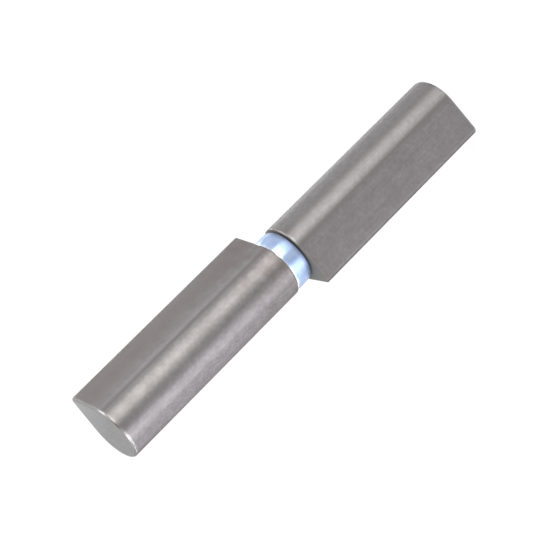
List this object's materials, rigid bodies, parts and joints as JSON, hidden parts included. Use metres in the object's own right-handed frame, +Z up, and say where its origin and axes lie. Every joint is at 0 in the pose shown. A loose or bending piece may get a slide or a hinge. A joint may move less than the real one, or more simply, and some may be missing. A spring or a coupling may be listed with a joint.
{
  "type": "weld-on barrel hinge",
  "caption": "Lift-off weld-on barrel hinge: solid teardrop-section steel leaves turn end to end on a hidden pin, with a zinc-plated thrust collar between them.",
  "frame": {"origin": "on the pin's axis, in the plane of the lower leaf's closed end, which the hinge stands on", "axes": "+Z up along the pin from the lower leaf to the upper leaf, +X towards the lower leaf's weld tip"},
  "size_m": [0.0314, 0.02, 0.153],
  "materials": {
    "leaf_steel": "cold-drawn bare steel with fine lengthwise draw lines, satin",
    "collar_zinc": "bright zinc plating with a blue passivated tint",
    "pin_steel": "ground round bar, smooth"
  },
  "bodies": {
    "lower": {"lower_leaf": "leaf_steel", "pin": "pin_steel"},
    "thrust_ring": {"collar": "collar_zinc"},
    "upper": {"upper_leaf": "leaf_steel"}
  },
  "joints": [
    {"name": "swing", "type": "hinge", "parent": "lower", "child": "thrust_ring", "pos_m": [0, 0, 0.0767], "axis": [0, 0, 1], "continuous": true},
    {"name": "lift_off", "type": "slide", "parent": "thrust_ring", "child": "upper", "axis": [0, 0, 1], "range_m": [0, 0.048]}
  ]
}
